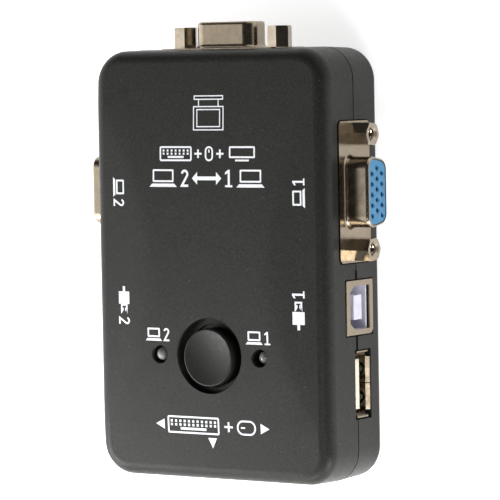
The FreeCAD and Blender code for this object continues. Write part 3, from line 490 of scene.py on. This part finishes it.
def laptop_symbol(width, height):
    half, tall = width / 2, height / 2
    outlines = hollow_rounded(-half * 0.76, half * 0.76, -tall * 0.45, tall, 0.25, STROKE)
    base = [(-half, -tall), (half, -tall), (half * 0.8, -tall * 0.62), (-half * 0.8, -tall * 0.62)]
    return outlines + [base]


def plug_symbol(length, height):
    """A square-nosed plug with two windows, and a stub of its lead."""
    half, tall = length / 2, height / 2
    outlines = hollow(half - length * 0.36, half, -tall * 0.62, tall * 0.62)
    outlines.append(rectangle(-half * 0.62, half - length * 0.36, -tall, tall))
    outlines.append(rectangle(-half, -half * 0.62, -tall * 0.22, tall * 0.22))
    for side in (-1, 1):
        y = side * tall * 0.26
        outlines.append(rectangle(half - length * 0.22, half - length * 0.12, y - 0.16, y + 0.16))
    return outlines


def arrow_head(size, degrees):
    """A filled triangle that points along the angle."""
    half = size / 2
    return turned([[(-half, -half), (half, 0.0), (-half, half)]], degrees)


def double_arrow(length, height):
    half, tall = length / 2, height / 2
    neck, bar = half - tall, tall * 0.3
    return [[(-half, 0), (-neck, -tall), (-neck, -bar), (neck, -bar), (neck, -tall),
             (half, 0), (neck, tall), (neck, bar), (-neck, bar), (-neck, tall)]]


def pen_line(points, width):
    """The outline of an open line that a pen of the given width draws, with mitred corners."""
    spots = [Vector(point) for point in points]
    left, right = [], []
    for i, spot in enumerate(spots):
        normals = []
        for start, end in ((i - 1, i), (i, i + 1)):
            if start >= 0 and end < len(spots):
                along = spots[end] - spots[start]
                normals.append(Vector((-along.y, along.x)).normalized())
        across = normals[0] + normals[-1]
        across *= width / 2 / across.dot(normals[0])
        left.append(tuple(spot + across))
        right.append(tuple(spot - across))
    return left + right[::-1]


def numeral(number, height):
    """A 1 with a foot, or a 2, a unit thirds of the height wide."""
    if number == 1:
        outline = [(-0.75, -1.5), (0.75, -1.5), (0.75, -1.15), (0.24, -1.15), (0.24, 1.5), (-0.12, 1.5),
                   (-0.75, 1.05), (-0.75, 0.65), (-0.2, 0.92), (-0.2, -1.15), (-0.75, -1.15)]
    else:
        line = []
        for i in range(ARC_STEPS + 1):
            angle = math.radians(172 - 207 * i / ARC_STEPS)
            line.append((0.58 * math.cos(angle), 0.72 + 0.58 * math.sin(angle)))
        outline = pen_line(line + [(-0.6, -1.3), (0.75, -1.3)], NUMERAL_STROKE)
    return [[(x * height / 3, y * height / 3) for x, y in outline]]


def plus_sign(size):
    half, bar = size / 2, 0.22
    return [[(-half, -bar), (-bar, -bar), (-bar, -half), (bar, -half), (bar, -bar), (half, -bar),
             (half, bar), (bar, bar), (bar, half), (-bar, half), (-bar, bar), (-half, bar)]]


def mesh_of(data):
    """The mesh that a curve makes, with the helper object and the curve cleared away."""
    helper = bpy.data.objects.new("helper", data)
    bpy.context.scene.collection.objects.link(helper)
    view = bpy.context.evaluated_depsgraph_get()
    mesh = bpy.data.meshes.new_from_object(helper.evaluated_get(view))
    bpy.data.objects.remove(helper)
    bpy.data.curves.remove(data)
    return mesh


def plate(outlines):
    """A closed plate two units thick from flat outlines."""
    curve = bpy.data.curves.new("outlines", "CURVE")
    curve.dimensions = "2D"
    curve.fill_mode = "BOTH"
    curve.extrude = 1.0
    for points in outlines:
        spline = curve.splines.new("POLY")
        spline.points.add(len(points) - 1)
        for point, (x, y) in zip(spline.points, points):
            point.co = (x, y, 0.0, 1.0)
        spline.use_cyclic_u = True
    return mesh_of(curve)


def lay_on_cover(name, plates, material):
    """Lay flat plates on the top cover, so that the ink follows its curve."""
    cover = BVHTree.FromObject(NODES["top_cover"], bpy.context.evaluated_depsgraph_get())
    mesh = joined_mesh(name, plates)
    centre = middle_of("bottom_cover")
    for vertex in mesh.vertices:
        x, y = vertex.co.x + centre.x, vertex.co.y + centre.y
        spot = cover.ray_cast(Vector((x * MM, y * MM, 1.0)), Vector((0, 0, -1)))[0]
        lift = INK_PROUD if vertex.co.z > 0 else -INK_SUNK
        vertex.co = (x * MM, y * MM, spot.z + lift * MM)
    return new_piece(name, mesh, material)


def print_marks(ink):
    """Symbols and numbers that say what each socket and light is for."""
    lay_on_cover("print_screen", [plate(shifted(screen_symbol(), *SCREEN_MARK))], ink)

    devices = [
        plate(shifted(keyboard_symbol(8.6, 3.3), -8.0, DEVICES_Y)),
        plate(shifted(plus_sign(1.9), -2.0, DEVICES_Y)),
        plate(shifted(mouse_symbol(3.3), 0.9, DEVICES_Y)),
        plate(shifted(plus_sign(1.9), 3.8, DEVICES_Y)),
        plate(shifted(hollow_rounded(-3.4, 3.4, -0.95, 1.65, 0.3), 9.6, DEVICES_Y)),
        plate(shifted([rectangle(-1.8, 1.8, -1.65, -1.25)], 9.6, DEVICES_Y)),
    ]
    lay_on_cover("print_devices", devices, ink)

    choice = [
        plate(shifted(laptop_symbol(7.4, 3.9), 11.8, CHOICE_Y)),
        plate(shifted(numeral(1, 3.8), 6.1, CHOICE_Y)),
        plate(shifted(double_arrow(7.8, 2.8), 0.25, CHOICE_Y)),
        plate(shifted(numeral(2, 3.8), -5.6, CHOICE_Y)),
        plate(shifted(laptop_symbol(7.4, 3.9), -11.4, CHOICE_Y)),
    ]
    lay_on_cover("print_choice", choice, ink)

    labels = []
    for number, side in ((1, 1), (2, -1)):
        turn = 90 * side
        x = 24.0 if side > 0 else -23.8
        labels.append(plate(shifted(turned(laptop_symbol(4.3, 3.1), turn), x, VIDEO_LABEL_Y - side * 1.05)))
        labels.append(plate(shifted(turned(numeral(number, 3.0), turn), x, VIDEO_LABEL_Y + side * 2.45)))
        x = 23.5 if side > 0 else -22.85
        labels.append(plate(shifted(turned(plug_symbol(6.2, 3.0), turn), x, USB_LABEL_Y - side * 1.15)))
        labels.append(plate(shifted(turned(numeral(number, 3.1), turn), x, USB_LABEL_Y + side * 3.45)))
    lay_on_cover("print_socket_labels", labels, ink)

    lights = []
    for number, x in ((1, 13.05), (2, -13.7)):
        lights.append(plate(shifted(laptop_symbol(4.4, 2.9), x - 1.0, LIGHT_LABEL_Y)))
        lights.append(plate(shifted(numeral(number, 2.9), x + 2.45, LIGHT_LABEL_Y)))
    lay_on_cover("print_light_labels", lights, ink)

    console = [
        plate(shifted(arrow_head(2.3, 180), -13.8, CONSOLE_Y)),
        plate(shifted(keyboard_symbol(13.8, 3.9), -4.9, CONSOLE_Y)),
        plate(shifted(plus_sign(2.2), 4.5, CONSOLE_Y)),
        plate(shifted(turned(mouse_symbol(5.0), 90), 9.2, CONSOLE_Y)),
        plate(shifted(arrow_head(2.3, 0), 14.1, CONSOLE_Y)),
        plate(shifted(arrow_head(2.3, -90), 0.1, BOTTOM_ARROW_Y)),
    ]
    lay_on_cover("print_console", console, ink)


# ---------------------------------------------------------------- small shapes

def lathe(profile, steps, centre):
    """A closed turned mesh from (radius, height) points that start and end on the axis."""
    build = bmesh.new()
    rings = []
    for radius, height in profile:
        if radius < 1e-6:
            rings.append([build.verts.new((centre.x, centre.y, centre.z + height))])
            continue
        ring = []
        for i in range(steps):
            angle = 2 * math.pi * i / steps
            spot = (centre.x + radius * math.cos(angle), centre.y + radius * math.sin(angle),
                    centre.z + height)
            ring.append(build.verts.new(spot))
        rings.append(ring)
    for lower, upper in zip(rings, rings[1:]):
        for i in range(steps):
            corners = []
            for spot in (lower[i % len(lower)], lower[(i + 1) % len(lower)],
                         upper[(i + 1) % len(upper)], upper[i % len(upper)]):
                if spot not in corners:
                    corners.append(spot)
            build.faces.new(corners)
    mesh = bpy.data.meshes.new("turned")
    build.to_mesh(mesh)
    build.free()
    return mesh


def bevelled_box(centre, size, bevel):
    build = bmesh.new()
    bmesh.ops.create_cube(build, size=1.0)
    bmesh.ops.scale(build, vec=size, verts=build.verts)
    bmesh.ops.bevel(build, geom=build.edges, offset=bevel, segments=2, affect="EDGES")
    bmesh.ops.translate(build, vec=centre, verts=build.verts)
    mesh = bpy.data.meshes.new("box")
    build.to_mesh(mesh)
    build.free()
    return mesh


def tube_along(points, radius, steps=8):
    """A round bar through points, closed at both ends."""
    build = bmesh.new()
    rings = []
    for i, point in enumerate(points):
        ahead = points[min(i + 1, len(points) - 1)] - points[max(i - 1, 0)]
        if rings:
            across = across - ahead * (across.dot(ahead) / ahead.length_squared)
        else:
            across = ahead.orthogonal().normalized()
        across.normalize()
        up = ahead.normalized().cross(across)
        ring = []
        for k in range(steps):
            angle = 2 * math.pi * k / steps
            ring.append(build.verts.new(point + (across * math.cos(angle) + up * math.sin(angle)) * radius))
        rings.append(ring)
    for first, second in zip(rings, rings[1:]):
        for k in range(steps):
            build.faces.new((first[k], first[(k + 1) % steps], second[(k + 1) % steps], second[k]))
    build.faces.new(rings[0][::-1])
    build.faces.new(rings[-1])
    mesh = bpy.data.meshes.new("tube")
    build.to_mesh(mesh)
    build.free()
    return mesh


# ---------------------------------------------------------------- small details

def led_innards(side, metal, die):
    """The reflector cup, the second lead's post, the die and its bond wire, in the clear dome."""
    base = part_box("led_lens_" + side)[0].z / MM
    centre = middle_of("led_lens_" + side)
    cup_x = centre.x + CUP_X
    cup = lathe(CUP_OUTLINE, CUP_STEPS, Vector((cup_x, centre.y, base + CUP_FOOT)))
    post_centre = (centre.x + LEAD_POST_X, centre.y, base + LEAD_POST_MIDDLE)
    post = bevelled_box(post_centre, LEAD_POST_SIZE, 0.05)
    post_top = base + LEAD_POST_TOP
    chip_top = base + CUP_FOOT + CUP_FLOOR + CHIP_SIZE[2]
    wire_points = []
    for i in range(BOND_WIRE_STEPS + 1):
        share = i / BOND_WIRE_STEPS
        x = cup_x + share * (LEAD_POST_X - CUP_X)
        z = chip_top + (post_top - chip_top) * share + BOND_WIRE_RISE * math.sin(math.pi * share)
        wire_points.append(Vector((x, centre.y, z)))
    bond_wire = tube_along(wire_points, BOND_WIRE_RADIUS)
    metal_mesh = joined_mesh("led_frame_" + side, [cup, post, bond_wire])
    chip = bevelled_box((cup_x, centre.y, chip_top - CHIP_SIZE[2] / 2), CHIP_SIZE, 0.02)
    for mesh in (metal_mesh, chip):
        mesh.transform(Matrix.Scale(MM, 4))
    new_piece("led_frame_" + side, metal_mesh, metal)
    new_piece("led_chip_" + side, chip, die)


def spring_coil(metal):
    """The spring under the button: it stands on the housing's floor."""
    low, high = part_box("return_spring")
    middle = middle_of("return_spring")
    radius = (high.x - low.x) / (2 * MM) - SPRING_WIRE_RADIUS
    bottom = low.z / MM + SPRING_WIRE_RADIUS
    rise = high.z / MM - SPRING_WIRE_RADIUS - bottom
    count = SPRING_TURNS * SPRING_STEPS
    points = []
    for i in range(count + 1):
        angle = 2 * math.pi * i / SPRING_STEPS
        x = middle.x + radius * math.cos(angle)
        y = middle.y + radius * math.sin(angle)
        points.append(Vector((x, y, bottom + rise * i / count)))
    mesh = tube_along(points, SPRING_WIRE_RADIUS)
    mesh.transform(Matrix.Scale(MM, 4))
    coil = new_piece("return_spring_coil", mesh, metal)
    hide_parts("return_spring")
    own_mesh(coil)


def thread_ridge(seat, outward, length):
    """A helical ridge in a bore that starts at seat, runs outward and widens with the mouth."""
    across = outward.orthogonal().normalized()
    up = outward.cross(across)
    count = int(length / THREAD_PITCH * THREAD_STEPS)
    build = bmesh.new()
    rings = []
    for i in range(count + 1):
        angle = 2 * math.pi * i / THREAD_STEPS
        along = THREAD_PITCH * i / THREAD_STEPS
        spoke = across * math.cos(angle) + up * math.sin(angle)
        opening = max(along - length + POST_MOUTH_DEPTH, 0.0) / POST_MOUTH_DEPTH
        bore = POST_BORE_RADIUS + (POST_MOUTH_RADIUS - POST_BORE_RADIUS) * opening
        root, crest = bore + THREAD_SUNK, bore - THREAD_DEPTH
        ring = []
        for radius, offset in ((root, -THREAD_FLANK), (crest, 0.0), (root, THREAD_FLANK)):
            ring.append(build.verts.new(seat + spoke * radius + outward * (along + offset)))
        rings.append(ring)
    for first, second in zip(rings, rings[1:]):
        for k in range(3):
            build.faces.new((first[k], first[(k + 1) % 3], second[(k + 1) % 3], second[k]))
    build.faces.new(rings[0][::-1])
    build.faces.new(rings[-1])
    mesh = bpy.data.meshes.new("ridge")
    build.to_mesh(mesh)
    build.free()
    return mesh


def post_threads(metal):
    """Screw threads in the mouths of the video sockets' jack posts."""
    directions = {"right": Vector((1, 0, 0)), "left": Vector((-1, 0, 0)), "top": Vector((0, 1, 0))}
    for side in SIDES:
        outward = directions[side]
        sideways = Vector((0, 0, 1)).cross(outward)
        low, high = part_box("vga_" + side + "_jack_posts")
        reach = max(abs(low.dot(outward)), abs(high.dot(outward))) / MM
        middle = middle_of("vga_" + side + "_shell")
        middle -= outward * middle.dot(outward)
        ridges = []
        for hand in (-1, 1):
            seat = middle + outward * (reach - THREAD_START) + sideways * hand * POST_SPACING / 2
            ridges.append(thread_ridge(seat, outward, THREAD_LENGTH))
        mesh = joined_mesh("post_threads_" + side, ridges)
        mesh.transform(Matrix.Scale(MM, 4))
        new_piece("post_threads_" + side, mesh, metal)


# ---------------------------------------------------------------- studio

def lay_floor():
    half = FLOOR_SIZE / 2 * MM
    mesh = bpy.data.meshes.new("floor")
    corners = [(-half, -half, 0), (half, -half, 0), (half, half, 0), (-half, half, 0)]
    mesh.from_pydata(corners, [], [(0, 1, 2, 3)])
    mesh.materials.append(floor_paper().material)
    floor = bpy.data.objects.new("floor", mesh)
    bpy.context.scene.collection.objects.link(floor)


def softbox(name, place, target, width, height, watts):
    """A rectangular lamp that the camera doesn't see."""
    data = bpy.data.lights.new(name, "AREA")
    data.shape = "RECTANGLE"
    data.size = width * MM
    data.size_y = height * MM
    data.energy = watts
    lamp = bpy.data.objects.new(name, data)
    lamp.location = Vector(place) * MM
    aim = (Vector(target) - Vector(place)).to_track_quat("-Z", "Y")
    lamp.rotation_euler = aim.to_euler()
    lamp.visible_camera = False
    bpy.context.scene.collection.objects.link(lamp)


def light_studio():
    """A dim room with glowing patches on its walls, and softboxes close to the object."""
    world = bpy.data.worlds.new("studio")
    world.use_nodes = True
    tree = world.node_tree
    place = tree.nodes.new("ShaderNodeTexCoord").outputs["Generated"]
    split = tree.nodes.new("ShaderNodeSeparateXYZ")
    tree.links.new(place, split.inputs["Vector"])
    ring = tree.nodes.new("ShaderNodeMapRange")
    ring.interpolation_type = "SMOOTHSTEP"
    ring.inputs["From Max"].default_value = HORIZON_TOP
    ring.inputs["To Min"].default_value = ROOM_HORIZON
    ring.inputs["To Max"].default_value = ROOM_GLOW
    tree.links.new(split.outputs["Z"], ring.inputs["Value"])
    total = ring.outputs["Result"]
    for direction, full, none, strength in ROOM_GLOWS:
        nearness = tree.nodes.new("ShaderNodeVectorMath")
        nearness.operation = "DOT_PRODUCT"
        nearness.inputs[1].default_value = Vector(direction).normalized()
        tree.links.new(place, nearness.inputs[0])
        fade = tree.nodes.new("ShaderNodeMapRange")
        fade.interpolation_type = "SMOOTHSTEP"
        fade.inputs["From Min"].default_value = math.cos(math.radians(none))
        fade.inputs["From Max"].default_value = math.cos(math.radians(full))
        fade.inputs["To Max"].default_value = strength
        tree.links.new(nearness.outputs["Value"], fade.inputs["Value"])
        added = tree.nodes.new("ShaderNodeMath")
        added.operation = "ADD"
        tree.links.new(fade.outputs["Result"], added.inputs[0])
        tree.links.new(total, added.inputs[1])
        total = added.outputs["Value"]
    sky = tree.nodes["Background"]
    sky.inputs["Color"].default_value = (1.0, 1.0, 1.0, 1.0)
    tree.links.new(total, sky.inputs["Strength"])
    bpy.context.scene.world = world
    for lamp in SOFTBOXES:
        softbox(*lamp)
    bpy.context.scene.view_settings.view_transform = "Standard"


def place_camera():
    data = bpy.data.cameras.new("camera")
    data.lens = CAMERA_LENS
    data.clip_start = 10 * MM
    data.clip_end = 10000 * MM
    camera = bpy.data.objects.new("camera", data)
    camera.rotation_mode = "ZXY"
    camera.rotation_euler = [math.radians(turn) for turn in CAMERA_TURN_DEG]
    camera.location = Vector(CAMERA_PLACE) * MM
    bpy.context.scene.collection.objects.link(camera)
    bpy.context.scene.camera = camera


materials = dress_frame()
print_marks(white_ink().material)
die = led_die().material
for side in ("left", "right"):
    led_innards(side, materials["tinned_metal"], die)
post_threads(materials["nickel_posts"])
spring_coil(materials["spring_steel"])
lay_floor()
light_studio()
place_camera()
